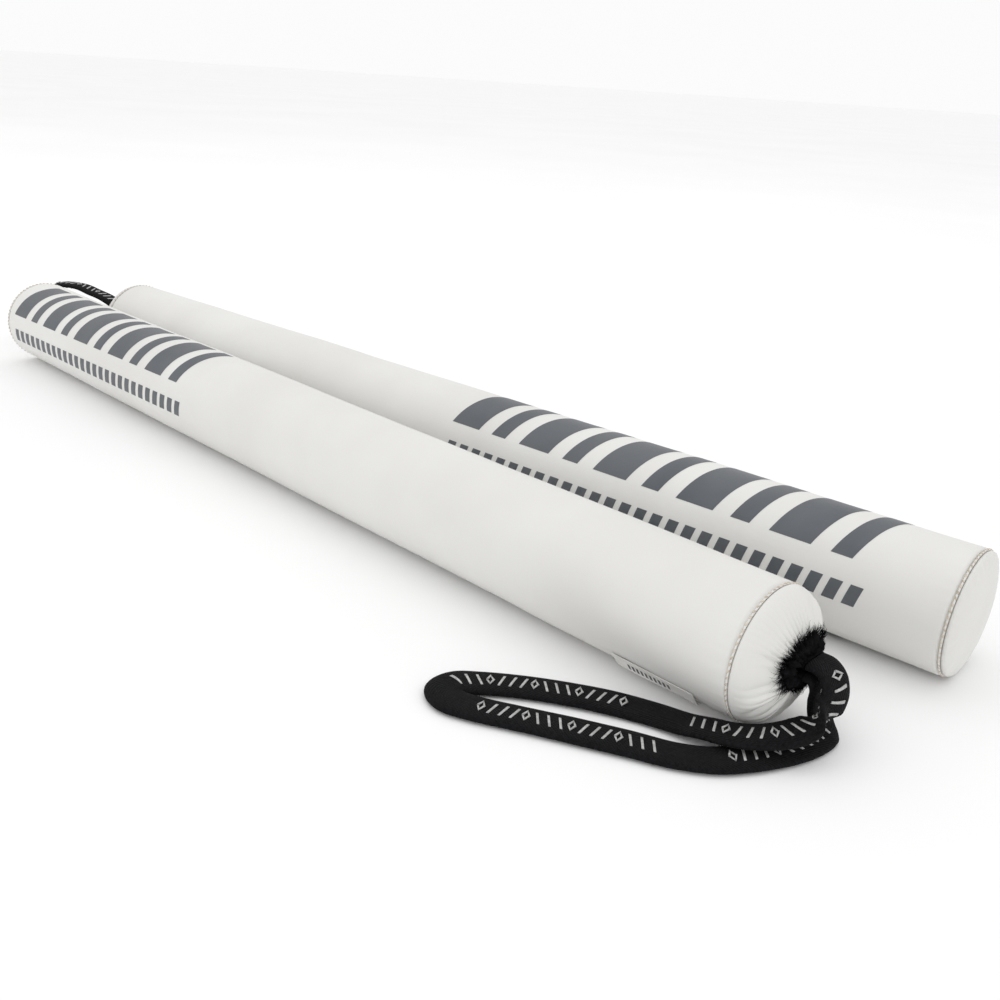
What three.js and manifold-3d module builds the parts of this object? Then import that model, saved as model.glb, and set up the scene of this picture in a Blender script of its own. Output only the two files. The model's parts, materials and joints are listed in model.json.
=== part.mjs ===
// A pair of foam-padded focus training sticks with wrist straps, lying side by side on a floor.
// Millimetres, +Z up. Each stick is built in its own frame: the origin is on the floor under the
// handle rim, +X points out of the handle end, and the stick's axis is STICK_RADIUS above the floor.
import * as THREE from 'three';
import { mergeVertices } from 'three/addons/utils/BufferGeometryUtils.js';
import Module from 'manifold-3d';

const wasm = await Module();
wasm.setup();

// Driving dimensions
const STICK_RADIUS = 28;
const BODY_LENGTH = 624; // from rim seam to rim seam
const HANDLE_DOME = 15; // how far the gathered cap stands out of its rim
const TIP_DOME = 5; // how far the tip disc stands out of its rim
const TIP_FLAT_RADIUS = 12;
const COVER_WALL = 1;
const RIM_VALLEY = 1.4; // width of the groove that each rim's stitching lies in
const GAP = 0.3; // between pieces that touch

const TUBE_RADIUS = 11;
const TUBE_BORE = 8.5;
const PLUG_DEPTH = 20;
const PLUG_FLANGE = 3.5;
const INNER_FOAM_RADIUS = 18;
const END_PAD = 14; // how far the foam pads reach in from each rim
const GATHER_RADIUS = 10; // the opening that the pleats close down to
const STRAP_TAIL_RADIUS = 7.6;
const BINDING_DEPTH = 2.2;

const SEAM_ANGLE = -59; // degrees above the horizontal, on the side that faces forward
const SEAM_WIDTH = 10;
const SEAM_THICKNESS = 1.1;
const LABEL_LENGTH = 38;
const LABEL_HEIGHT = 11;
const LABEL_THICKNESS = 0.6;
const LABEL_FROM_RIM = 14;
const LABEL_ANGLE = -54;

const STRAP_WIDTH = 15;
const STRAP_THICKNESS = 3.5;
const STRAP_EXIT = 16.5; // where the strap clears the gathers
const STRAP_STEPS = 72;

// Layout of the pair
const SPACING_AT_NEAR_RIMS = 93; // sideways distance from the near stick's handle rim to the far stick's tip rim
const TIP_LEAD = 36.5; // how far the far stick's tip reaches past the near stick's handle rim
const TOE_ANGLE = 3.3; // degrees between the two sticks

const ROUND_SIDES = 36;
const CORE_SIDES = 24;
const SKIN_STEPS = 5; // steps of a dome that shows
const PAD_STEPS = 3; // and of one that doesn't

const TIP_RIM = -BODY_LENGTH;
const FOAM_RADIUS = STICK_RADIUS - COVER_WALL - GAP;
const VINYL = { color: 0xe9e8e4, roughness: 0.45, metalness: 0 };
const THREAD = { color: 0xcdc3b0, roughness: 0.85, metalness: 0 };
const WEBBING = { color: 0x101012, roughness: 0.9, metalness: 0 };
const PLASTIC = { color: 0x8d9094, roughness: 0.55, metalness: 0 };
const FOAM_FIRM = { color: 0x3b3d42, roughness: 0.95, metalness: 0 };
const FOAM_SOFT = { color: 0xd9d4c4, roughness: 0.95, metalness: 0 };
const LABEL = { color: 0xf4f3ef, roughness: 0.8, metalness: 0 };

// A solid turned about the stick's axis from [x, radius] points, with a flat side at the bottom.
function turned(profile, sides = ROUND_SIDES) {
  const halfSide = Math.PI / sides;
  const points = profile.map(([x, radius]) => new THREE.Vector2(radius / Math.cos(halfSide), x));
  const geometry = new THREE.LatheGeometry(points, sides, halfSide);
  geometry.rotateZ(-Math.PI / 2);
  geometry.translate(0, 0, STICK_RADIUS);
  return geometry;
}

// A tube or ring with a square section, from x0 to x1.
function ring(x0, x1, outer, inner, sides = ROUND_SIDES) {
  return turned([[x0, outer], [x1, outer], [x1, inner], [x0, inner], [x0, outer]], sides);
}

// Points of a quarter-elliptical dome, from its rim to where its radius has shrunk to endRadius.
function domePoints(rimX, depth, radius, endRadius, steps) {
  const lastAngle = Math.acos(endRadius / radius);
  const points = [];
  for (let i = 0; i <= steps; i += 1) {
    const angle = (lastAngle * i) / steps;
    points.push([rimX + depth * Math.sin(angle), radius * Math.cos(angle)]);
  }
  return points;
}

// Boolean difference of two closed geometries.
function cut(geometry, tool) {
  const [body, cutter] = [geometry, tool].map((source) => {
    const bare = source.clone();
    bare.deleteAttribute('normal');
    bare.deleteAttribute('uv');
    const merged = mergeVertices(bare, 1e-4);
    return new wasm.Manifold(new wasm.Mesh({
      numProp: 3,
      vertProperties: new Float32Array(merged.attributes.position.array),
      triVerts: new Uint32Array(merged.index.array),
    }));
  });
  const mesh = body.subtract(cutter).getMesh();
  const result = new THREE.BufferGeometry();
  result.setAttribute('position', new THREE.BufferAttribute(mesh.vertProperties, 3));
  result.setIndex(new THREE.BufferAttribute(mesh.triVerts, 1));
  result.computeVertexNormals();
  return result;
}

function coreTube() {
  const reach = END_PAD + PLUG_FLANGE + GAP;
  return ring(TIP_RIM + reach, -reach, TUBE_RADIUS, TUBE_BORE, CORE_SIDES);
}

// A flanged plug. direction is 1 at the handle end and -1 at the tip end.
function corePlug(flangeFace, direction) {
  const shoulder = flangeFace - direction * PLUG_FLANGE;
  const inner = shoulder - direction * PLUG_DEPTH;
  const shank = TUBE_BORE - GAP;
  const flange = TUBE_RADIUS - GAP;
  const profile = [[flangeFace, 0], [flangeFace, flange], [shoulder, flange], [shoulder, shank], [inner, shank], [inner, 0]];
  return turned(direction > 0 ? profile.reverse() : profile, CORE_SIDES);
}

// Turns a geometry made at the bottom of the stick up to an angle above the horizontal, on side -1 or 1.
function aroundAxis(geometry, degrees, side) {
  const turn = side * THREE.MathUtils.degToRad(90 + degrees);
  geometry.translate(0, 0, -STICK_RADIUS);
  geometry.rotateX(turn);
  geometry.translate(0, 0, STICK_RADIUS);
  return geometry;
}

function seamStrip(width, thickness, topRadius, clearance, side) {
  const length = BODY_LENGTH - 2 * END_PAD - 6 + 2 * clearance;
  const strip = new THREE.BoxGeometry(length, width + 2 * clearance, thickness);
  strip.translate(TIP_RIM / 2, 0, STICK_RADIUS - topRadius + thickness / 2);
  return aroundAxis(strip, SEAM_ANGLE, side);
}

function innerFoam() {
  return ring(TIP_RIM + END_PAD, -END_PAD, INNER_FOAM_RADIUS, TUBE_RADIUS + GAP, CORE_SIDES);
}

function outerFoam(side) {
  const sleeve = ring(TIP_RIM + END_PAD, -END_PAD, FOAM_RADIUS, INNER_FOAM_RADIUS + GAP);
  const depth = SEAM_THICKNESS + 3;
  return cut(sleeve, seamStrip(SEAM_WIDTH, depth, STICK_RADIUS, GAP, side));
}

function tipFoamPad() {
  const dome = domePoints(0, TIP_DOME - COVER_WALL - GAP, FOAM_RADIUS, TIP_FLAT_RADIUS, PAD_STEPS);
  const outside = dome.reverse().map(([x, radius]) => [TIP_RIM - x, radius]);
  const face = TIP_RIM + END_PAD - GAP;
  return turned([[outside[0][0], 0], ...outside, [face, FOAM_RADIUS], [face, 0]]);
}

function handleFoamPad() {
  const dome = domePoints(0, HANDLE_DOME - BINDING_DEPTH - GAP, FOAM_RADIUS, STRAP_TAIL_RADIUS + GAP, PAD_STEPS);
  const last = dome[dome.length - 1];
  const face = -END_PAD + GAP;
  return turned([[face, FOAM_RADIUS], ...dome, [face, last[1]], [face, FOAM_RADIUS]]);
}

function coverSleeve() {
  const half = RIM_VALLEY / 2;
  return ring(TIP_RIM + half, -half, STICK_RADIUS, STICK_RADIUS - COVER_WALL);
}

function tipDisc() {
  const rim = TIP_RIM - RIM_VALLEY / 2;
  const outside = domePoints(0, TIP_DOME, STICK_RADIUS, TIP_FLAT_RADIUS, SKIN_STEPS).reverse();
  const inside = domePoints(0, TIP_DOME - COVER_WALL, STICK_RADIUS - COVER_WALL, TIP_FLAT_RADIUS, PAD_STEPS);
  const outer = outside.map(([x, radius]) => [rim - x, radius]);
  const inner = inside.map(([x, radius]) => [rim - x, radius]);
  return turned([[outer[0][0], 0], ...outer, ...inner, [inner[inner.length - 1][0], 0]]);
}

function handleCap() {
  const rim = RIM_VALLEY / 2;
  const outer = domePoints(rim, HANDLE_DOME, STICK_RADIUS, GATHER_RADIUS, SKIN_STEPS);
  const inner = domePoints(rim, HANDLE_DOME - COVER_WALL, STICK_RADIUS - COVER_WALL, GATHER_RADIUS, PAD_STEPS);
  return turned([...outer, ...inner.reverse(), outer[0]]);
}

function rimStitching(x) {
  const half = RIM_VALLEY / 2 - GAP;
  return ring(x - half, x + half, STICK_RADIUS - 0.1, STICK_RADIUS - COVER_WALL);
}

function gatherBinding() {
  return ring(STRAP_EXIT - 1 - BINDING_DEPTH, STRAP_EXIT - 1, GATHER_RADIUS - GAP, STRAP_TAIL_RADIUS + GAP, CORE_SIDES);
}

function strapTail() {
  const start = -END_PAD + GAP;
  const end = STRAP_EXIT - GAP;
  return turned([[start, 0], [start, STRAP_TAIL_RADIUS], [end, STRAP_TAIL_RADIUS], [end, 0]], CORE_SIDES);
}

// A flat label that lies against the cover along its lengthwise seam.
function sewnLabel(side) {
  const inner = STICK_RADIUS + 0.5;
  const outer = inner + LABEL_THICKNESS;
  const half = LABEL_HEIGHT / 2 / inner;
  const outline = new THREE.Shape();
  outline.absarc(0, 0, outer, -half, half, false);
  outline.absarc(0, 0, inner, half, -half, true);
  const label = new THREE.ExtrudeGeometry(outline, { depth: LABEL_LENGTH, bevelEnabled: false, curveSegments: 4 });
  label.rotateY(-Math.PI / 2); // the length now runs along -X, and the arc opens upward
  label.rotateX(Math.PI);
  label.translate(-LABEL_FROM_RIM, 0, STICK_RADIUS);
  return aroundAxis(label, LABEL_ANGLE, side);
}

// The strap's width directions from one exit to the middle of the loop. The width is level, it starts
// across the stick, and it turns only slowly where the strap falls.
function levelSides(tangents) {
  const side = new THREE.Vector3(0, 1, 0);
  return tangents.map((tangent) => {
    const level = new THREE.Vector3(-tangent.y, tangent.x, 0);
    const flatness = level.lengthSq();
    level.multiplyScalar(level.dot(side) < 0 ? -1 : 1).normalize();
    side.lerp(level, flatness ** 2).normalize();
    return side.clone().addScaledVector(tangent, -side.dot(tangent)).normalize();
  });
}

function strapFrames(path, steps) {
  const tangents = Array.from({ length: steps + 1 }, (_, i) => path.getTangentAt(i / steps));
  const middle = Math.floor(steps / 2);
  const first = levelSides(tangents.slice(0, middle + 1));
  const second = levelSides(tangents.slice(middle + 1).reverse()).reverse();
  if (first[middle].dot(second[0]) < 0) {
    second.forEach((side) => side.negate());
  }
  const normals = [...first, ...second];
  const binormals = normals.map((normal, i) => new THREE.Vector3().crossVectors(tangents[i], normal));
  return { tangents, normals, binormals };
}

// A flat strap with rounded edges along a route of hand-set points.
function strap(route) {
  const path = new THREE.CatmullRomCurve3(route.map((point) => new THREE.Vector3(...point)), false, 'centripetal');
  path.computeFrenetFrames = (steps) => strapFrames(path, steps);
  const halfWidth = STRAP_WIDTH / 2;
  const halfThickness = STRAP_THICKNESS / 2;
  const edge = halfThickness * 0.45;
  const shoulder = halfWidth - halfThickness * 0.7;
  const section = new THREE.Shape([
    [halfWidth, -edge], [halfWidth, edge], [shoulder, halfThickness], [-shoulder, halfThickness],
    [-halfWidth, edge], [-halfWidth, -edge], [-shoulder, -halfThickness], [shoulder, -halfThickness],
  ].map(([x, y]) => new THREE.Vector2(x, y)));
  return new THREE.ExtrudeGeometry(section, { steps: STRAP_STEPS, extrudePath: path, curveSegments: 1 });
}

// The near strap's ends drop over the handle end, one passing over the other, and its loop lies on the floor.
const NEAR_STRAP_ROUTE = [
  [16.6, 4, 26.1], [18.3, 4, 26], [19.5, 4.5, 23.4], [19.4, 5.9, 18], [19.1, 8, 12], [20.2, 8.8, 7],
  [22.4, 7.2, 3.6], [23.4, 2.6, 2.1], [22.9, -4.4, 1.9], [20.8, -12.4, 1.9], [17.2, -21, 1.9],
  [12.4, -30, 1.9], [5.8, -39, 1.9], [-4.2, -46.6, 1.9], [-20, -54.2, 1.9], [-40, -64.3, 1.9],
  [-58, -74, 1.9], [-72, -81.3, 1.9], [-81, -84, 1.9], [-87.3, -81, 1.9], [-87.8, -74.5, 1.9],
  [-82, -67.5, 1.9], [-72, -58.5, 1.9], [-56, -47.3, 1.9], [-40, -38.2, 1.9], [-24, -31.6, 1.9],
  [-13, -29.2, 2.7], [-4, -28, 4.9], [4, -26.5, 6.2], [11.2, -22.9, 7.2], [17.6, -17.6, 8.5],
  [22.6, -11.4, 10.4], [26, -5.2, 13.6], [27.4, -1, 18.2], [27.2, 2.2, 23.2], [24.2, 3.9, 28],
  [20.4, 4, 30.3], [16.6, 4, 30.4],
];

// The far strap arches over towards the near stick's tip, and its loop lies on the floor beyond.
const FAR_STRAP_ROUTE = [
  [16.6, -1, 30.4], [20, -1, 30.9], [29, 0.4, 34], [41.9, 4.7, 39.5], [52.1, 9.1, 42.5], [61.4, 12.6, 45],
  [70.7, 18, 46], [79, 23.6, 45], [86.3, 28.2, 40], [90.3, 31, 31], [91.3, 31.4, 20], [90.6, 29, 10],
  [90, 21, 3.6], [92, 10, 1.9], [99, -2, 1.9], [111, -13, 1.9], [125, -22.5, 1.9], [137, -31, 1.9],
  [142.5, -40, 1.9], [136.5, -48, 1.9], [122, -48.5, 1.9], [101, -42, 1.9], [77, -33, 1.9], [57.5, -24.5, 1.9],
  [43.5, -17.5, 3.6], [33, -10.5, 10], [25.5, -5, 18.5], [20.5, -1.7, 24.2], [18.4, -1, 25.8], [16.7, -1, 26.1],
];

function addPiece(stick, name, geometry, finish) {
  const mesh = new THREE.Mesh(geometry, new THREE.MeshStandardMaterial(finish));
  mesh.name = name;
  stick.add(mesh);
}

// forward is the stick's own side, -1 or 1 in Y, that faces the front of the pair.
function buildStick(prefix, forward, strapRoute) {
  const stick = new THREE.Group();
  const add = (name, geometry, finish) => addPiece(stick, `${prefix}_${name}`, geometry, finish);
  add('core_tube', coreTube(), PLASTIC);
  add('core_plug_handle', corePlug(-END_PAD, 1), PLASTIC);
  add('core_plug_tip', corePlug(TIP_RIM + END_PAD, -1), PLASTIC);
  add('foam_inner_sleeve', innerFoam(), FOAM_FIRM);
  add('foam_outer_sleeve', outerFoam(forward), FOAM_SOFT);
  add('foam_tip_pad', tipFoamPad(), FOAM_SOFT);
  add('foam_handle_pad', handleFoamPad(), FOAM_SOFT);
  add('cover_sleeve', coverSleeve(), VINYL);
  add('cover_seam_allowance', seamStrip(SEAM_WIDTH, SEAM_THICKNESS, FOAM_RADIUS - 0.5, 0, forward), VINYL);
  add('tip_disc', tipDisc(), VINYL);
  add('tip_rim_stitching', rimStitching(TIP_RIM), THREAD);
  add('handle_cap', handleCap(), VINYL);
  add('handle_rim_stitching', rimStitching(0), THREAD);
  add('gather_binding', gatherBinding(), WEBBING);
  add('strap_tail', strapTail(), WEBBING);
  add('wrist_strap', strap(strapRoute), WEBBING);
  add('sewn_label', sewnLabel(forward), LABEL);
  return stick;
}

// The box of everything but the straps, which lie loose.
function bodyBox(group) {
  const box = new THREE.Box3();
  group.updateMatrixWorld(true);
  group.traverse((object) => {
    if (object.isMesh && !object.name.endsWith('wrist_strap')) {
      box.expandByObject(object, true);
    }
  });
  return box;
}

function buildPair() {
  const pair = new THREE.Group();
  const near = buildStick('near', -1, NEAR_STRAP_ROUTE);
  const far = buildStick('far', 1, FAR_STRAP_ROUTE);
  const toe = THREE.MathUtils.degToRad(TOE_ANGLE);
  far.rotation.z = Math.PI + toe;
  far.position.set(TIP_LEAD - BODY_LENGTH * Math.cos(toe), SPACING_AT_NEAR_RIMS - BODY_LENGTH * Math.sin(toe), 0);
  pair.add(near, far);
  const box = bodyBox(pair);
  const centre = box.getCenter(new THREE.Vector3());
  pair.position.set(-centre.x, -centre.y, -box.min.z);
  return pair;
}

export default buildPair();
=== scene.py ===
"""A pair of foam-padded focus training sticks with woven wrist straps, lying on a pale floor.

Metres throughout. Each stick has its own frame: the origin is on the floor under the handle rim, +X points
out of the handle end, and +Z is up. An angle round a stick is in degrees above the horizontal, on the side
that faces the front of the pair, so 90 is its top and -90 is where it rests on the floor.
"""

import json
import math
import random

import bpy
from mathutils import Matrix, Vector, noise


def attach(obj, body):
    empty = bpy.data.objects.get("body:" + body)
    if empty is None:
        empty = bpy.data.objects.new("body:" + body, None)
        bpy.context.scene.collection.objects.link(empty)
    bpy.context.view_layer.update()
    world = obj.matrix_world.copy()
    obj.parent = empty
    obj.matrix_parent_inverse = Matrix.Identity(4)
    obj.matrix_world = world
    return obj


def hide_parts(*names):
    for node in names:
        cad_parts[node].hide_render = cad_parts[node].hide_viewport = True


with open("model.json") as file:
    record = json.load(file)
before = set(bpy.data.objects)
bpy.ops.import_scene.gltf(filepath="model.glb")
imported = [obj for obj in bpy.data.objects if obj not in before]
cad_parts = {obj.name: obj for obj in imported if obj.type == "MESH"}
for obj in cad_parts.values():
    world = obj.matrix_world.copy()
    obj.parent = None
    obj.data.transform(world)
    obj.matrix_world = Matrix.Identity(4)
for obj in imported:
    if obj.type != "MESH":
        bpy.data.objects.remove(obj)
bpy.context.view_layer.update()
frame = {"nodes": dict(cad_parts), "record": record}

# Driving dimensions, the same as the frame's
RADIUS = 0.028
LENGTH = 0.624  # from rim to rim
HANDLE_DOME = 0.015
TIP_DOME = 0.005
RIM_HALF = 0.0007  # half the width of the groove that a rim's stitching lies in
GATHER_RADIUS = 0.0095
SEAM_ANGLE = -59
STRAP_WIDTH = 0.015
STRAP_THICKNESS = 0.0034
STRAP_FRAME_STEPS = 72

# Camera, placed in the near stick's frame; angles in degrees
CAMERA_PLACE = (0.1557, -0.3134, 0.2189)
CAMERA_HEADING = 43.46
CAMERA_PITCH = 22.29
CAMERA_ROLL = 3.72
CAMERA_LENS = 37.2

# Light and floor
STUDIO_STRENGTH = 0.97
SOFTBOXES = (  # name, place, size and watts
    ("softbox_top", (-0.5, 0.3, 2.4), 2.4, 7),
    ("softbox_left", (-1.6, -1.6, 1.9), 1.5, 2),
)
FLOOR_RINGS = (40, 4, 1, 0.05)

# Covers and rim seams
EDGE_DROP = 0.0009  # how far a panel rolls in at its rim
TUCK = 0.0022  # how far its hidden edge is tucked in
STITCHES_PER_RIM = 66
LIP_HALF = 0.00042
THREAD_HALF = 0.00036
STITCH_HALF_ANGLE = 1.75

# Gathered end
PLEATS = 46
BIG_FOLDS = ((-30, 10, 0.0017), (-62, 9, 0.0013), (28, 9, 0.0006), (128, 12, 0.0008))  # angle, width, height
RUFF_PLACE = 0.0136
RUFF_HALF = 0.0023
# How many black fibres round the gathers: painted shade of the creases between the pleats
SHADE_FIBRES = 1300

# Marks woven in the straps
MARK_RUN = 16
MARK_PITCH = 0.0043
MARK_GAP = 0.0235
MARK_START = 0.0055
MARK_HALF_HEIGHT = 0.0033
MARK_WIDTH = 0.00095
MARK_LEAN = 0.0010
MARK_THICKNESS = 0.0004
DIAMOND_HALF_WIDTH = 0.0017

# Print: lengths along the stick in metres, and angles round it in degrees
INK_LIFT = 0.00008
PRINT_LENGTH = 0.238
BAR_PAIRS = 5
PAIR_BARS = ((0, 0.0195), (0.0285, 0.0095))  # where each bar of a pair starts, and its width
BAR_ANGLE = 76
BAR_SLANT = 0.012
DASHES = 27
DASH_WIDTH = 0.0055
DASH_ANGLES = (-40, -21)
DASH_SLANT = 0.0024
NEAR_PRINT = (-0.614, 20, 1, 38)  # start, base, reading and twist, as make_print has them
FAR_PRINT = (-0.353, 36, -1, 0)

# Label
LABEL_START = -0.0540
LABEL_END = -0.0155
LABEL_HEIGHT = 0.0086
LABEL_ANGLE = -36  # of the label's free edge, above its fold
TICKS = 10
TICK_PITCH = 0.0021
TICK_REACHES = (0.0032, 0.0050, 0.0068)


# ---------------------------------------------------------------- camera, light and floor

def make_camera(near):
    data = bpy.data.cameras.new("camera")
    data.lens = CAMERA_LENS
    data.sensor_width = 36
    camera = bpy.data.objects.new("camera", data)
    bpy.context.collection.objects.link(camera)
    place = near.matrix @ Vector(CAMERA_PLACE)
    heading = Matrix.Rotation(math.radians(CAMERA_HEADING), 4, "Z")
    tilt = Matrix.Rotation(math.radians(90 - CAMERA_PITCH), 4, "X")
    roll = Matrix.Rotation(math.radians(CAMERA_ROLL), 4, "Z")
    camera.matrix_world = Matrix.Translation(place) @ heading @ tilt @ roll
    bpy.context.scene.camera = camera


def make_light():
    world = bpy.data.worlds.new("studio")
    world.use_nodes = True
    background = world.node_tree.nodes["Background"]
    background.inputs["Color"].default_value = (1, 1, 1, 1)
    background.inputs["Strength"].default_value = STUDIO_STRENGTH
    bpy.context.scene.world = world
    bpy.context.scene.view_settings.view_transform = "Standard"
    for name, place, size, power in SOFTBOXES:
        data = bpy.data.lights.new(name, "AREA")
        data.size = size
        data.energy = power
        light = bpy.data.objects.new(name, data)
        light.location = place
        light.rotation_euler = (Vector((0, 0, 0)) - light.location).to_track_quat("-Z", "Y").to_euler()
        bpy.context.collection.objects.link(light)


def make_floor(material):
    """A round pale floor that reaches far beyond the sticks."""
    rows = [[Vector((reach * math.cos(a), reach * math.sin(a), 0)) for a in steps(0, 2 * math.pi, 0.09)[:-1]]
            for reach in FLOOR_RINGS]
    centre = [Vector((0, 0, 0))] * len(rows[0])
    floor = grid_object("floor", rows + [centre], material, closed=True)


# ---------------------------------------------------------------- node materials

def new_material(name):
    material = bpy.data.materials.new(name)
    material.use_nodes = True
    nodes, links = material.node_tree.nodes, material.node_tree.links
    return material, nodes, links, nodes["Principled BSDF"]


def add_noise(nodes, links, vector, scale, detail=3.0):
    texture = nodes.new("ShaderNodeTexNoise")
    texture.inputs["Scale"].default_value = scale
    texture.inputs["Detail"].default_value = detail
    links.new(vector, texture.inputs["Vector"])
    return texture.outputs["Fac"]


def add_ramp(nodes, links, value, stops):
    ramp = nodes.new("ShaderNodeValToRGB")
    for element, (position, color) in zip(ramp.color_ramp.elements, stops):
        element.position = position
        element.color = (*color, 1)
    links.new(value, ramp.inputs["Fac"])
    return ramp.outputs["Color"]


def add_bump(nodes, links, heights, shader):
    """Chains bump nodes from (height, distance in metres, strength) entries into the shader's normal."""
    normal = None
    for height, distance, strength in heights:
        bump = nodes.new("ShaderNodeBump")
        bump.inputs["Distance"].default_value = distance
        bump.inputs["Strength"].default_value = strength
        links.new(height, bump.inputs["Height"])
        if normal:
            links.new(normal, bump.inputs["Normal"])
        normal = bump.outputs["Normal"]
    links.new(normal, shader.inputs["Normal"])


def range_of(nodes, links, value, low, high):
    spread = nodes.new("ShaderNodeMapRange")
    spread.inputs["To Min"].default_value = low
    spread.inputs["To Max"].default_value = high
    links.new(value, spread.inputs["Value"])
    return spread.outputs["Result"]


def speckled(name, dark, light, roughness, scales, grain, grain_depth, strength=0.4, specular=0.5):
    """A material with broad and fine colour variation, uneven roughness and a fine bumpy grain."""
    material, nodes, links, shader = new_material(name)
    where = nodes.new("ShaderNodeTexCoord").outputs["Object"]
    broad = add_noise(nodes, links, where, scales[0])
    fine = add_noise(nodes, links, where, scales[1], 5)
    links.new(add_ramp(nodes, links, broad, ((0.35, dark), (0.65, light))), shader.inputs["Base Color"])
    links.new(range_of(nodes, links, fine, roughness[0], roughness[1]), shader.inputs["Roughness"])
    cells = nodes.new("ShaderNodeTexVoronoi")
    cells.inputs["Scale"].default_value = grain
    links.new(where, cells.inputs["Vector"])
    add_bump(nodes, links, ((cells.outputs["Distance"], grain_depth, strength), (fine, 0.0002, 0.15)), shader)
    shader.inputs["Specular IOR Level"].default_value = specular
    return material


def vinyl_material():
    """White synthetic leather: a fine pebble grain, faint yellowing, and a soft satin gloss."""
    return speckled("white_vinyl", (0.725, 0.717, 0.69), (0.765, 0.76, 0.738), (0.36, 0.52),
                    (16, 420), 1500, 0.00006, 0.25)


def gathered_material():
    """The vinyl of the gathered cap, which goes over to black where the cap's attribute says so: the real
    black hem at the gathers, and a streaky, ragged fade out over the pleats that is painted shade of their
    creases.
    """
    material = vinyl_material()
    material.name = "gathered_vinyl"
    nodes, links = material.node_tree.nodes, material.node_tree.links
    shader = nodes["Principled BSDF"]
    white = shader.inputs["Base Color"].links[0].from_socket
    hem_and_crease_shade = nodes.new("ShaderNodeAttribute")
    hem_and_crease_shade.attribute_name = "hem_and_crease_shade"
    mix = nodes.new("ShaderNodeMix")
    mix.data_type = "RGBA"
    links.new(hem_and_crease_shade.outputs["Fac"], mix.inputs["Factor"])
    links.new(white, mix.inputs["A"])
    mix.inputs["B"].default_value = (0.008, 0.008, 0.009, 1)
    links.new(mix.outputs["Result"], shader.inputs["Base Color"])
    return material


def webbing_material():
    """Black woven tube: diagonal ribs that meet along the middle, drawn from the strap's UV map."""
    material, nodes, links, shader = new_material("black_webbing")
    split = nodes.new("ShaderNodeSeparateXYZ")
    links.new(nodes.new("ShaderNodeTexCoord").outputs["UV"], split.inputs[0])

    def math_node(operation, a, b=None):
        node = nodes.new("ShaderNodeMath")
        node.operation = operation
        for socket, value in zip(node.inputs, (a, b)):
            if isinstance(value, (int, float)):
                socket.default_value = value
            elif value is not None:
                links.new(value, socket)
        return node.outputs[0]

    across = math_node("ABSOLUTE", split.outputs["Y"])
    slant = math_node("ADD", split.outputs["X"], across)
    ribs = math_node("SINE", math_node("MULTIPLY", slant, 2 * math.pi / 0.0013))
    yarns = math_node("SINE", math_node("MULTIPLY", split.outputs["Y"], 2 * math.pi / 0.0009))
    weave = math_node("ADD", ribs, math_node("MULTIPLY", yarns, 0.5))
    where = nodes.new("ShaderNodeTexCoord").outputs["Object"]
    lint = add_noise(nodes, links, where, 900, 4)
    links.new(add_ramp(nodes, links, lint, ((0.3, (0.0035, 0.0035, 0.004)), (0.8, (0.013, 0.013, 0.0145)))),
              shader.inputs["Base Color"])
    links.new(range_of(nodes, links, lint, 0.7, 0.95), shader.inputs["Roughness"])
    shader.inputs["Specular IOR Level"].default_value = 0.08
    shader.inputs["Sheen Weight"].default_value = 0.02
    add_bump(nodes, links, ((weave, 0.00012, 0.6), (lint, 0.0002, 0.3)), shader)
    return material


def make_materials():
    return {
        "white_vinyl": vinyl_material(),
        "gathered_vinyl": gathered_material(),
        "black_webbing": webbing_material(),
        # Black for the real hem and the strap's ends, and for the fibres that are painted shade of the
        # creases on the cap
        "black_hem_and_shade": speckled("black_hem_and_painted_shade", (0.0025, 0.0025, 0.003), (0.009, 0.009, 0.01), (0.85, 0.98),
                         (300, 1500), 2500, 0.0001, specular=0.06),
        "strap_weave": speckled("grey_yarn", (0.36, 0.36, 0.355), (0.55, 0.55, 0.54), (0.75, 0.95),
                                (700, 2000), 2600, 0.00012),
        "stitching": speckled("cream_thread", (0.5, 0.42, 0.34), (0.74, 0.67, 0.58), (0.6, 0.85),
                              (500, 2500), 3000, 0.0001),
        "print_ink": speckled("slate_ink", (0.082, 0.091, 0.104), (0.104, 0.113, 0.126), (0.38, 0.55),
                              (30, 700), 1500, 0.00005, 0.25),
        "label_cloth": speckled("label_cloth", (0.74, 0.73, 0.7), (0.82, 0.81, 0.79), (0.75, 0.9),
                                (90, 1200), 2200, 0.00008),
        "label_ink": speckled("label_ink", (0.07, 0.07, 0.075), (0.13, 0.13, 0.13), (0.8, 0.9),
                              (200, 1200), 2200, 0.00005),
        "firm_foam": speckled("firm_foam", (0.035, 0.036, 0.04), (0.06, 0.06, 0.065), (0.9, 1.0),
                              (60, 900), 700, 0.0004, 0.8),
        "soft_foam": speckled("soft_foam", (0.6, 0.57, 0.47), (0.7, 0.67, 0.57), (0.9, 1.0),
                              (40, 800), 600, 0.0005, 0.9),
        "core_plastic": speckled("core_plastic", (0.25, 0.26, 0.28), (0.3, 0.31, 0.33), (0.4, 0.6),
                                 (50, 900), 1800, 0.00005),
        "floor": speckled("floor", (0.955, 0.955, 0.955), (0.975, 0.975, 0.975), (0.85, 0.95),
                          (2, 40), 60, 0.0001, 0.05, specular=0.1),
    }


# ---------------------------------------------------------------- mesh helpers

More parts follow.
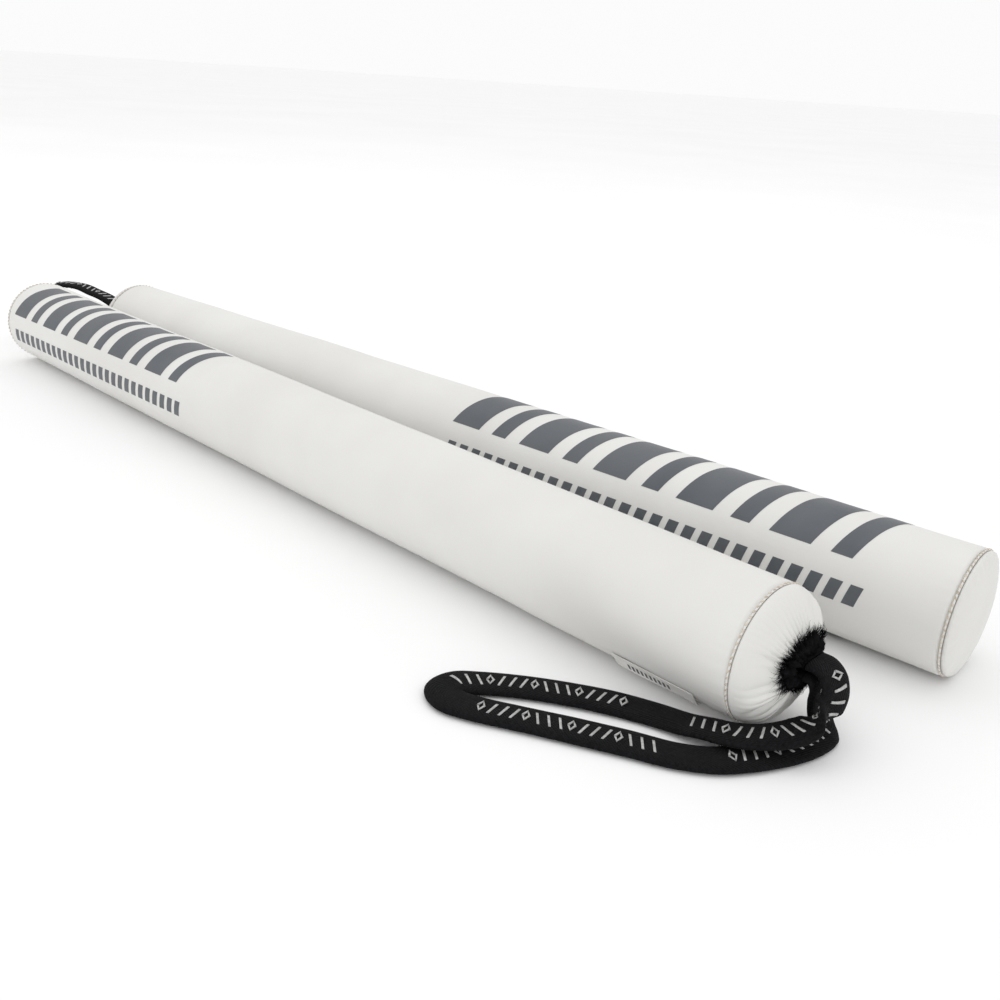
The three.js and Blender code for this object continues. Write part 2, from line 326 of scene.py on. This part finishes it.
def grids_object(name, grids, material, closed=False):
    """One object from grids of points. A closed grid's rows join their own ends."""
    points, faces = [], []
    for rows in grids:
        first = len(points)
        width = len(rows[0])
        for row in rows:
            points.extend(row)
        for i in range(len(rows) - 1):
            for j in range(width if closed else width - 1):
                k = (j + 1) % width
                a, b = first + i * width, first + (i + 1) * width
                faces.append((a + j, b + j, b + k, a + k))
    mesh = bpy.data.meshes.new(name)
    mesh.from_pydata([tuple(point) for point in points], [], faces)
    mesh.validate()
    for polygon in mesh.polygons:
        polygon.use_smooth = True
    mesh.materials.append(material)
    thing = bpy.data.objects.new(name, mesh)
    bpy.context.collection.objects.link(thing)
    return thing


def grid_object(name, rows, material, closed=False):
    return grids_object(name, [rows], material, closed)


def thicken(thing, thickness, offset=-1):
    modifier = thing.modifiers.new("thickness", "SOLIDIFY")
    modifier.thickness = thickness
    modifier.offset = offset
    return thing


def steps(low, high, size):
    """Evenly spaced values from low to high, at most size apart."""
    count = max(1, math.ceil(abs(high - low) / size - 1e-6))
    return [low + (high - low) * i / count for i in range(count + 1)]


def smoothstep(low, high, value):
    t = min(1, max(0, (value - low) / (high - low)))
    return t * t * (3 - 2 * t)


# ---------------------------------------------------------------- sticks

class Stick:
    """One stick: its names, its body, its frame in the pair, and which way its front is."""

    def __init__(self, prefix, body, forward, seed):
        self.prefix, self.body, self.forward, self.seed = prefix, body, forward, seed
        mounts = {mount["name"]: mount for mount in frame["record"]["mounts"]}
        rest = Vector(mounts[f"{prefix}_rest"]["pos_m"])
        along = -Vector(mounts[f"{prefix}_tip_face"]["axis"])
        across = Vector((0, 0, 1)).cross(along)
        turn = Matrix((along, across, (0, 0, 1))).transposed().to_4x4()
        self.matrix = Matrix.Translation(rest + along * LENGTH / 2) @ turn

    def place(self, x, radius, angle):
        """A point of the pair's frame, from a place along the stick, a radius and an angle round it."""
        a = math.radians(angle)
        z = max(RADIUS + radius * math.sin(a), 0.00003)
        return self.matrix @ Vector((x, self.forward * radius * math.cos(a), z))

    def add(self, thing, slot, *nodes):
        thing.name = f"{self.prefix}_{thing.name}"
        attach(thing, self.body)
        if nodes:
            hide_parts(*[f"{self.prefix}_{node}" for node in nodes])
        return thing


def cover_radius(stick, x, angle):
    """The cover's radius: soft dents in the foam, puckers by the rims, and the lengthwise seam."""
    a = math.radians(angle)
    spot = Vector((x * 11 + stick.seed, math.cos(a) * 0.9, math.sin(a) * 0.9))
    radius = RADIUS - 0.00035 + 0.00045 * noise.noise(spot) + 0.00014 * noise.noise(spot * 3.1)
    reach = min(-x, x + LENGTH)
    pucker = math.sin(a * 38 + 2.2 * math.sin(a * 5 + stick.seed)) + 0.6 * math.sin(a * 61 + stick.seed)
    radius += 0.00013 * pucker * math.exp(-reach / 0.0055)
    roll = max(0, 1 - (reach - RIM_HALF) / 0.0014)
    radius -= EDGE_DROP * (1 - math.sqrt(max(0, 1 - roll * roll)))
    gap = math.radians((angle - SEAM_ANGLE + 180) % 360 - 180) * RADIUS
    radius -= 0.00055 * math.exp(-(gap / 0.0005) ** 2)
    radius += 0.00018 * math.exp(-((abs(gap) - 0.0016) / 0.0010) ** 2)
    radius += 0.00007 * math.sin(x * 2 * math.pi / 0.0041) * math.exp(-(gap / 0.0035) ** 2)
    return radius


def seam_angles():
    """Angles once round the stick, closer together by the lengthwise seam."""
    fine = [SEAM_ANGLE + i * 0.7 for i in range(-12, 13)]
    return fine + steps(fine[-1] + 2.2, fine[0] + 360 - 2.2, 2.4)


def make_cover(stick, materials):
    near_rim = [-0.0142 + d * 0.0009 for d in range(16)]
    places = [-LENGTH - x for x in reversed(near_rim)] + steps(-LENGTH + 0.018, -0.018, 0.004) + near_rim
    places = [x for x in places if -LENGTH + RIM_HALF < x < -RIM_HALF]
    places = [-LENGTH + RIM_HALF] + places + [-RIM_HALF]
    angles = seam_angles()
    rows = [[stick.place(x, cover_radius(stick, x, angle), angle) for angle in angles] for x in places]
    rows.insert(0, [stick.place(places[0], RADIUS - TUCK, angle) for angle in angles])
    rows.append([stick.place(places[-1], RADIUS - TUCK, angle) for angle in angles])
    cover = grid_object("cover", rows, materials["white_vinyl"], closed=True)
    stick.add(cover, "white_vinyl", "cover_sleeve")


def make_tip_end(stick, materials):
    """The tip's end panel: almost flat, tight over its pad, with small puckers where it is sewn."""
    rows = []
    angles = steps(0, 360, 1.5)[:-1]
    for t in [0.0004] + steps(0.04, 1, 0.03):
        row = []
        for angle in angles:
            a = math.radians(angle)
            radius = RADIUS * t
            rise = TIP_DOME * 0.92 * (1 - t ** 3.2) ** 0.62
            dent = noise.noise(Vector((math.cos(a) * t, math.sin(a) * t, stick.seed)) * 1.7)
            pucker = math.sin(a * 33 + 1.7 * math.sin(a * 4)) * smoothstep(0.72, 0.97, t) * 0.00022
            rise += (0.0003 * dent + pucker) * (1 - smoothstep(0.965, 1, t))
            shrink = EDGE_DROP * smoothstep(0.96, 1, t)
            row.append(stick.place(-LENGTH - RIM_HALF - rise, radius - shrink, angle))
        rows.append(row)
    rows.append([stick.place(-LENGTH - RIM_HALF, RADIUS - TUCK, angle) for angle in angles])
    end = grid_object("tip_end", rows, materials["white_vinyl"], closed=True)
    stick.add(end, "white_vinyl", "tip_disc")


def make_rim_seam(stick, materials, name, x, node):
    """The seam round one rim: a bumpy white lip of turned-in edges, with whipped thread over it."""
    lip = []
    for angle in steps(0, 360, 1.2)[:-1]:
        bump = 0.00010 * math.sin(math.radians(angle) * STITCHES_PER_RIM)
        ring = []
        for k in range(8):
            turn = 2 * math.pi * k / 8
            ring.append(stick.place(x + LIP_HALF * math.cos(turn),
                                    RADIUS - 0.00085 + (LIP_HALF + bump) * math.sin(turn), angle))
        lip.append(ring)
    lip.append(lip[0])
    stick.add(grid_object(f"{name}_lip", lip, materials["white_vinyl"], closed=True), "white_vinyl")
    grids = []
    for i in range(STITCHES_PER_RIM):
        middle = 360 * i / STITCHES_PER_RIM + random.uniform(-0.3, 0.3)
        lean = random.uniform(0.0002, 0.0004)
        stitch = []
        for t in steps(-1, 1, 0.34):
            thick = THREAD_HALF * math.sqrt(max(0.02, 1 - t ** 4))
            ring = []
            for k in range(7):
                turn = 2 * math.pi * k / 7
                ring.append(stick.place(x + lean * t + thick * math.cos(turn),
                                        RADIUS - 0.00042 + thick * math.sin(turn) - 0.0003 * t * t,
                                        middle + t * STITCH_HALF_ANGLE))
            stitch.append(ring)
        grids.append(stitch)
    seam = grids_object(name, grids, materials["stitching"], closed=True)
    stick.add(seam, "stitching", node)


# ---------------------------------------------------------------- gathered handle end

def gather_reach(angle):
    """How far the black hem reaches from the axis: widest to the front and back, and short underneath."""
    a = math.radians(angle - 172)
    oval = 1 / math.hypot(math.cos(a) / 0.0150, math.sin(a) / 0.0108)
    under = math.exp(-(((angle + 52 + 180) % 360 - 180) / 42) ** 2)
    return oval - 0.0042 * under + 0.0016 * math.sin(math.radians(angle - 10))


def cap_point(stick, t, angle, lift=0.0):
    """A point on the pleated cap, from 0 at the rim to 1 where it turns in at the gathers."""
    a = math.radians(angle)
    last = math.acos(GATHER_RADIUS / RADIUS)
    bend = last * min(t, 1)
    x = RIM_HALF + HANDLE_DOME * math.sin(bend)
    radius = RADIUS * math.cos(bend)
    out = Vector((math.sin(bend) * 1.6, math.cos(bend))).normalized()
    wander = (a + 0.13 * math.sin(3 * a + stick.seed) + 0.05 * math.sin(7 * a + 2)
              + 0.02 * math.sin(7 * t + 3 * a))
    spot = Vector((math.cos(a) * 1.7, math.sin(a) * 1.7, stick.seed))
    strength = max(0.3, 0.8 + 0.75 * noise.noise(spot))
    onset = 0.28 + 0.22 * noise.noise(spot * 2.3)
    major = abs(math.sin(wander * PLEATS / 2))
    minor = abs(math.sin(wander * PLEATS + 1.1))
    depth = 0.00012 * smoothstep(0.02, 0.2, t) + 0.00155 * strength * smoothstep(onset, 1.0, t) ** 1.4
    push = -depth * (1 - major ** 0.8) - 0.35 * depth * (1 - minor) * smoothstep(0.5, 1, t)
    swell = smoothstep(0.1, 0.6, t) * (1 - 0.5 * smoothstep(0.8, 1, t))
    for centre, width, height in BIG_FOLDS:
        gap = (angle - centre - 14 * t + 180) % 360 - 180
        crease = 0.8 * math.exp(-((gap + width * 1.25) / (width * 0.5)) ** 2)
        push += height * swell * (math.exp(-(gap / width) ** 2) - crease)
    push -= 0.0006
    if t > 1:
        x -= 0.005 * (t - 1)
        radius -= 0.006 * (t - 1)
    return stick.place(x + out.x * (push + lift), radius + out.y * (push + lift), angle), radius


def make_cap(stick, materials):
    angles = steps(0, 360, 0.75)[:-1]
    levels = steps(0, 1, 0.024) + [1.25, 1.6, 2.0]
    rows, hem_and_crease_shade = [], []
    for t in levels:
        row = []
        for angle in angles:
            point, radius = cap_point(stick, t, angle)
            if t == 0:
                point = stick.place(RIM_HALF, RADIUS - EDGE_DROP, angle)
            row.append(point)
            # Black at the gathers is the real hem; the streaky, ragged fade of black out over the white
            # pleats is painted shade of the creases between them.
            shade_streak = noise.noise(Vector((angle * 0.42, stick.seed, t * 1.3)))
            ragged = 0.0017 * shade_streak + 0.0008 * noise.noise(Vector((angle * 1.3, 3, t * 5)))
            fade = 0.0016 + 0.0012 * max(0, shade_streak)
            hem_and_crease_shade.append(1 - smoothstep(-0.0009, fade, radius - gather_reach(angle) - ragged))
        rows.append(row)
    rows.insert(0, [stick.place(RIM_HALF, RADIUS - TUCK, angle) for angle in angles])
    hem_and_crease_shade = [0.0] * len(angles) + hem_and_crease_shade
    cap = grid_object("gathered_cap", rows, materials["gathered_vinyl"], closed=True)
    attribute = cap.data.attributes.new("hem_and_crease_shade", "FLOAT", "POINT")
    attribute.data.foreach_set("value", hem_and_crease_shade)
    stick.add(cap, "white_vinyl", "handle_cap")


def make_ruff(stick, materials):
    """The black hem that the drawn thread bunches up round the strap."""
    rows = []
    angles = steps(0, 360, 1.2)[:-1]
    for i in range(19):
        turn = 2 * math.pi * i / 18
        row = []
        for angle in angles:
            a = math.radians(angle)
            folds = abs(math.sin(a * 11 + 1.7 * math.sin(a * 3 + stick.seed)))
            tuft = noise.noise(Vector((math.cos(a) * 6, math.sin(a) * 6, math.cos(turn) * 2 + stick.seed)))
            rag = noise.noise(Vector((math.cos(a) * 24, math.sin(a) * 24, turn * 2.5 + stick.seed)))
            fat = RUFF_HALF * (0.55 + 0.5 * folds + 0.6 * tuft + 0.35 * rag)
            radius = gather_reach(angle) * 0.66 + fat * 1.5 * math.cos(turn)
            row.append(stick.place(RUFF_PLACE + fat * math.sin(turn), radius, angle))
        rows.append(row)
    ruff = grid_object("gather_ruff", rows, materials["black_hem_and_shade"], closed=True)
    stick.add(ruff, "black_webbing", "gather_binding")


def make_shade_fibres(stick, materials):
    """Thin black fibres round the gathers, some lying over the white pleats and some standing up: painted
    shade of the dark creases between the pleats, made as black strands.
    """
    grids = []
    last = math.acos(GATHER_RADIUS / RADIUS)
    turned = stick.matrix.to_3x3()
    for _ in range(SHADE_FIBRES):
        angle = random.uniform(0, 360)
        reach = gather_reach(angle) * random.uniform(0.7, 1.04)
        start = math.acos(min(1, reach / RADIUS)) / last
        length = random.uniform(0.0010, 0.0036) * random.choice((1, 1, 1, 1.6))
        drift = random.uniform(-14, 14)
        wide = random.uniform(0.00007, 0.00018)
        rise = random.choice((random.uniform(0.0001, 0.0006), random.uniform(0.0006, 0.0018)))
        fibre = []
        for s in (0, 0.3, 0.6, 0.85, 1):
            t = start - s * length / 0.026
            point = cap_point(stick, t, angle + drift * s * s, 0.0001 + rise * math.sin(math.pi * s * 0.8))[0]
            side = turned @ Vector((0, -math.sin(math.radians(angle)) * stick.forward,
                                    math.cos(math.radians(angle))))
            up = turned @ Vector((1, 0, 0))
            taper = wide * (1.05 - s)
            fibre.append([point + side * taper, point + up * taper, point - side * taper, point - up * taper])
        grids.append(fibre)
    black_hem_and_shade = grids_object("gather_shade_fibres", grids, materials["black_hem_and_shade"], closed=True)
    stick.add(black_hem_and_shade, "black_webbing")


# ---------------------------------------------------------------- wrist straps

# The straps' centrelines in millimetres, in each stick's frame, from one exit round the loop to the other
NEAR_STRAP_ROUTE = [
    (16.6, 4, 26.1), (18.3, 4, 26), (19.5, 4.5, 23.4), (19.4, 5.9, 18), (19.1, 8, 12), (20.2, 8.8, 7),
    (22.4, 7.2, 3.6), (23.4, 2.6, 2.1), (22.9, -4.4, 1.9), (20.8, -12.4, 1.9), (17.2, -21, 1.9),
    (12.4, -30, 1.9), (5.8, -39, 1.9), (-4.2, -46.6, 1.9), (-20, -54.2, 1.9), (-40, -64.3, 1.9),
    (-58, -74, 1.9), (-72, -81.3, 1.9), (-81, -84, 1.9), (-87.3, -81, 1.9), (-87.8, -74.5, 1.9),
    (-82, -67.5, 1.9), (-72, -58.5, 1.9), (-56, -47.3, 1.9), (-40, -38.2, 1.9), (-24, -31.6, 1.9),
    (-13, -29.2, 2.7), (-4, -28, 4.9), (4, -26.5, 6.2), (11.2, -22.9, 7.2), (17.6, -17.6, 8.5),
    (22.6, -11.4, 10.4), (26, -5.2, 13.6), (27.4, -1, 18.2), (27.2, 2.2, 23.2), (24.2, 3.9, 28),
    (20.4, 4, 30.3), (16.6, 4, 30.4),
]

FAR_STRAP_ROUTE = [
    (16.6, -1, 30.4), (20, -1, 30.9), (29, 0.4, 34), (41.9, 4.7, 39.5), (52.1, 9.1, 42.5), (61.4, 12.6, 45),
    (70.7, 18, 46), (79, 23.6, 45), (86.3, 28.2, 40), (90.3, 31, 31), (91.3, 31.4, 20), (90.6, 29, 10),
    (90, 21, 3.6), (92, 10, 1.9), (99, -2, 1.9), (111, -13, 1.9), (125, -22.5, 1.9), (137, -31, 1.9),
    (142.5, -40, 1.9), (136.5, -48, 1.9), (122, -48.5, 1.9), (101, -42, 1.9), (77, -33, 1.9),
    (57.5, -24.5, 1.9), (43.5, -17.5, 3.6), (33, -10.5, 10), (25.5, -5, 18.5), (20.5, -1.7, 24.2),
    (18.4, -1, 25.8), (16.7, -1, 26.1),
]


def smooth_route(points, per_span=24):
    """A centripetal Catmull-Rom curve through the points."""
    ends = [points[0] * 2 - points[1], *points, points[-1] * 2 - points[-2]]
    curve = []
    for p0, p1, p2, p3 in zip(ends, ends[1:], ends[2:], ends[3:]):
        d0, d1, d2 = ((b - a).length ** 0.5 for a, b in ((p0, p1), (p1, p2), (p2, p3)))
        m1 = ((p1 - p0) / d0 - (p2 - p0) / (d0 + d1) + (p2 - p1) / d1) * d1
        m2 = ((p2 - p1) / d1 - (p3 - p1) / (d1 + d2) + (p3 - p2) / d2) * d1
        for k in range(per_span):
            t = k / per_span
            cubic = p1 * 2 - p2 * 2 + m1 + m2
            square = p2 * 3 - p1 * 3 - m1 * 2 - m2
            curve.append(cubic * t ** 3 + square * t ** 2 + m1 * t + p1)
    curve.append(points[-1])
    return curve


def even_points(curve, count):
    """count + 1 points at equal distances along a curve, and its length."""
    reach = [0.0]
    for a, b in zip(curve, curve[1:]):
        reach.append(reach[-1] + (b - a).length)
    points, k = [], 0
    for i in range(count + 1):
        wanted = reach[-1] * i / count
        while k < len(reach) - 2 and reach[k + 1] < wanted:
            k += 1
        t = (wanted - reach[k]) / (reach[k + 1] - reach[k])
        points.append(curve[k].lerp(curve[k + 1], min(1, t)))
    return points, reach[-1]


def tangents_of(points):
    ends = [points[0], *points, points[-1]]
    return [(b - a).normalized() for a, b in zip(ends, ends[2:])]


def level_sides(tangents):
    """Width directions from an exit: level, starting across the stick, and turning slowly in a fall."""
    side = Vector((0, 1, 0))
    sides = []
    for tangent in tangents:
        level = Vector((-tangent.y, tangent.x, 0))
        flatness = level.length_squared
        level = level.normalized() * (-1 if level.dot(side) < 0 else 1)
        side = side.lerp(level, flatness ** 2).normalized()
        sides.append((side - tangent * side.dot(tangent)).normalized())
    return sides


class StrapPath:
    """A strap's centreline, width directions and upward directions, in the stick's frame."""

    def __init__(self, route, count=440):
        curve = smooth_route([Vector(point) / 1000 for point in route])
        coarse, self.length = even_points(curve, STRAP_FRAME_STEPS)
        tangents = tangents_of(coarse)
        middle = STRAP_FRAME_STEPS // 2
        sides = level_sides(tangents[:middle + 1])
        rest = level_sides(tangents[middle + 1:][::-1])[::-1]
        flip = -1 if sides[-1].dot(rest[0]) < 0 else 1
        sides += [side * flip for side in rest]
        self.points = even_points(curve, count)[0]
        self.tangents = tangents_of(self.points)
        self.count = count
        self.sides = []
        for i, tangent in enumerate(self.tangents):
            place = i * STRAP_FRAME_STEPS / count
            k = min(int(place), STRAP_FRAME_STEPS - 1)
            side = sides[k].lerp(sides[k + 1], place - k)
            self.sides.append((side - tangent * side.dot(tangent)).normalized())
        self.ups = [tangent.cross(side) for tangent, side in zip(self.tangents, self.sides)]
        if self.ups[middle * count // STRAP_FRAME_STEPS].z < 0:
            self.ups = [-up for up in self.ups]

    def at(self, distance):
        place = min(max(distance / self.length, 0), 1) * self.count
        k = min(int(place), self.count - 1)
        t = place - k
        return (self.points[k].lerp(self.points[k + 1], t), self.sides[k].lerp(self.sides[k + 1], t),
                self.ups[k].lerp(self.ups[k + 1], t))


def strap_face(across):
    """Half the strap's thickness at a distance from its middle line."""
    edge = min(1, abs(across) / (STRAP_WIDTH / 2))
    return STRAP_THICKNESS / 2 * (1 - edge ** 3.6) ** 0.42


def strap_section(sides=36):
    section = []
    for k in range(sides):
        turn = 2 * math.pi * k / sides
        across = STRAP_WIDTH / 2 * math.copysign(abs(math.cos(turn)) ** 0.6, math.cos(turn))
        section.append((across, math.copysign(strap_face(across), math.sin(turn))))
    return section


def make_strap(stick, materials, route):
    path = StrapPath(route)
    section = strap_section()
    rows, uvs = [], []
    for i, (point, side, up) in enumerate(zip(path.points, path.sides, path.ups)):
        distance = path.length * i / path.count
        narrow = 1 + 0.02 * math.sin(distance * 95 + stick.seed)
        row = []
        for across, height in section:
            slack = 1 + 0.10 * noise.noise(Vector((distance * 60, across * 160, stick.seed)))
            spot = point + side * across * narrow + up * height * slack
            spot.z = max(spot.z, 0.00008)
            row.append(stick.matrix @ spot)
            uvs.append((distance, across))
        rows.append(row)
    strap = grid_object("strap", rows, materials["black_webbing"], closed=True)
    layer = strap.data.uv_layers.new(name="weave")
    for loop in strap.data.loops:
        layer.data[loop.index].uv = uvs[loop.vertex_index]
    stick.add(strap, "black_webbing", "wrist_strap")
    marks = make_strap_marks(stick, materials, path)


def make_strap_marks(stick, materials, path):
    """Light grey marks woven into both faces: runs of slanted bars and small diamonds, with plain gaps."""
    grids = []

    def patch(corners, parts, face):
        """A patch of one face between four (distance, across) corners."""
        (s0, a0), (s1, a1), (s2, a2), (s3, a3) = corners
        rows = []
        for i in range(parts[0] + 1):
            u = i / parts[0]
            row = []
            for j in range(parts[1] + 1):
                v = j / parts[1]
                distance = (s0 * (1 - u) + s1 * u) * (1 - v) + (s3 * (1 - u) + s2 * u) * v
                across = (a0 * (1 - u) + a1 * u) * (1 - v) + (a3 * (1 - u) + a2 * u) * v
                point, side, up = path.at(distance)
                lift = strap_face(across) * 1.05 + 0.00012
                place = stick.matrix @ (point + side * across + up * face * lift)
                place.z = max(place.z, 0.0005)
                row.append(place)
            rows.append(row)
        grids.append(rows)

    high, half = MARK_HALF_HEIGHT, MARK_WIDTH / 2
    wide = DIAMOND_HALF_WIDTH
    for face in (1, -1):
        start = MARK_START
        while start + MARK_RUN * MARK_PITCH < path.length:
            for i in range(MARK_RUN):
                s = start + i * MARK_PITCH
                if i % 4 == 3:
                    for dx, dy in ((wide, high), (-wide, high), (wide, -high), (-wide, -high)):
                        patch(((s + dx, 0), (s, dy), (s, dy * 0.66), (s + dx * 0.52, 0)), (3, 1), face)
                    continue
                lean = MARK_LEAN if (i // 4) % 2 else -MARK_LEAN
                patch(((s - lean - half, -high), (s - lean + half, -high),
                       (s + lean + half, high), (s + lean - half, high)), (2, 5), face)
            start += MARK_RUN * MARK_PITCH + MARK_GAP
    marks = grids_object("strap_marks", grids, materials["strap_weave"])
    thicken(marks, MARK_THICKNESS)
    return stick.add(marks, "strap_weave")


def make_strap_root(stick, materials, route):
    """The two ends of the strap inside the gathers, sewn one on the other."""
    grids = []
    for end in (route[0], route[-1]):
        mouth = Vector(end) / 1000
        rows = []
        for t in steps(0, 1, 0.1):
            x = 0.003 + (mouth.x - 0.0004 - 0.003) * t
            height = 0.0283 + (mouth.z - 0.0283) * (0.75 + 0.25 * t)
            centre = Vector((x, mouth.y * smoothstep(0.1, 1, t), height))
            squeeze = 0.8 + 0.2 * smoothstep(0.4, 1, t)
            rows.append([stick.matrix @ (centre + Vector((0, across * squeeze, up)))
                         for across, up in strap_section(24)])
        grids.append(rows)
    root = grids_object("strap_root", grids, materials["black_hem_and_shade"], closed=True)
    stick.add(root, "black_webbing", "strap_tail")


# ---------------------------------------------------------------- print and label

def skin_patch(stick, x0, x1, low, high, slant, twist):
    """A patch on the cover between two angles. Its ends lean by slant metres from its low edge to its high
    edge, and its angles grow by twist degrees for each metre along the stick."""
    rows = []
    for x in steps(x0, x1, 0.002):
        row = []
        for angle in steps(low, high, 2.0):
            place = x + slant * (angle - low) / (high - low)
            turned = angle + twist * place
            row.append(stick.place(place, cover_radius(stick, place, turned) + INK_LIFT, turned))
        rows.append(row)
    return rows


def make_print(stick, materials, start, base, reading, twist):
    """Generic speed bars: a bold row of wide and narrow slanted bars over a row of small even dashes, once on
    each side of the stick. start is the row's first end, base its lower angle there, reading the way along
    the stick that the bars run, 1 or -1, and twist how far the rows turn round the stick in each metre."""
    pair_pitch = PRINT_LENGTH / BAR_PAIRS
    dash_pitch = PRINT_LENGTH / DASHES
    grids = []
    for turn in (0, 180):
        run = -reading if turn else reading
        first = start + (reading * PRINT_LENGTH if turn else 0)
        low = base + turn - twist * start
        for i in range(BAR_PAIRS):
            for offset, width in PAIR_BARS:
                x0 = first + run * (i * pair_pitch + offset)
                x1 = x0 + run * width
                grids.append(skin_patch(stick, x0, x1, low, low + BAR_ANGLE, BAR_SLANT * run, twist))
        for i in range(DASHES):
            x0 = first + run * i * dash_pitch
            x1 = x0 + run * DASH_WIDTH
            bottom, top = (low + angle for angle in DASH_ANGLES)
            grids.append(skin_patch(stick, x0, x1, bottom, top, DASH_SLANT * run, twist))
    ink = grids_object("speed_bars", grids, materials["print_ink"])
    stick.add(ink, "print_ink")


def label_point(stick, x, reach, lift=0.0):
    """A point of the label, reach metres from its free edge, which lies on the cover. The label is stiff and
    flat, so it runs straight on from there while the cover curves away under it."""
    ripple = 0.0002 * math.sin((x + 0.052) * 170) * (reach / LABEL_HEIGHT) ** 2
    out = RADIUS + 0.0001 + lift + ripple
    return stick.place(x, math.hypot(out, reach), LABEL_ANGLE - math.degrees(math.atan2(reach, out)))


def label_strip(stick, x0, x1, reaches, lift):
    return [[label_point(stick, x, reach, lift) for reach in reaches] for x in steps(x0, x1, 0.0008)]


def make_label(stick, materials):
    """A small label folded up out of the lengthwise seam, so that its fold stands off the cover."""
    top = label_strip(stick, LABEL_START, LABEL_END, steps(0, LABEL_HEIGHT, 0.0007), 0.0)
    under = []
    for row, x in zip(top, steps(LABEL_START, LABEL_END, 0.0008)):
        root = stick.place(x, RADIUS + 0.0001, SEAM_ANGLE + 1.5)
        bulge = stick.place(x, RADIUS + 0.0009, SEAM_ANGLE + 3.0)
        under.append([row[-1], row[-1].lerp(bulge, 0.6), bulge.lerp(root, 0.5), root])
    label = thicken(grids_object("label", [top, under], materials["label_cloth"]), 0.0002, 0)
    stick.add(label, "label_cloth", "sewn_label")
    ticks = []
    for i in range(TICKS):
        x0, x1 = (LABEL_START + side + i * TICK_PITCH for side in (0.0068, 0.0079))
        ticks.append(label_strip(stick, x0, x1, TICK_REACHES, 0.00016))
    stick.add(grids_object("label_marks", ticks, materials["label_ink"]), "label_ink")


# ---------------------------------------------------------------- carried-over frame parts

def finish_inner_parts(stick, materials):
    """The core, foams and seam allowance keep their own solids, and get a finished material each."""
    for node, name in (
        ("core_tube", "core_plastic"), ("core_plug_handle", "core_plastic"),
        ("core_plug_tip", "core_plastic"), ("foam_inner_sleeve", "firm_foam"),
        ("foam_outer_sleeve", "soft_foam"), ("foam_tip_pad", "soft_foam"),
        ("foam_handle_pad", "soft_foam"), ("cover_seam_allowance", "white_vinyl"),
    ):
        data = frame["nodes"][f"{stick.prefix}_{node}"].data
        data.materials.clear()
        data.materials.append(materials[name])


def make_stick(stick, materials, route, print_place):
    make_strap(stick, materials, route)
    make_strap_root(stick, materials, route)
    make_cover(stick, materials)
    make_tip_end(stick, materials)
    make_cap(stick, materials)
    make_ruff(stick, materials)
    make_shade_fibres(stick, materials)
    make_rim_seam(stick, materials, "tip_seam", -LENGTH, "tip_rim_stitching")
    make_rim_seam(stick, materials, "handle_seam", 0.0, "handle_rim_stitching")
    make_print(stick, materials, *print_place)
    make_label(stick, materials)
    finish_inner_parts(stick, materials)


def main():
    random.seed(7)
    near = Stick("near", "stick_a", -1, 3.0)
    far = Stick("far", "stick_b", 1, 11.0)
    make_camera(near)
    make_light()
    materials = make_materials()
    make_stick(near, materials, NEAR_STRAP_ROUTE, NEAR_PRINT)
    make_stick(far, materials, FAR_STRAP_ROUTE, FAR_PRINT)
    make_floor(materials["floor"])


main()
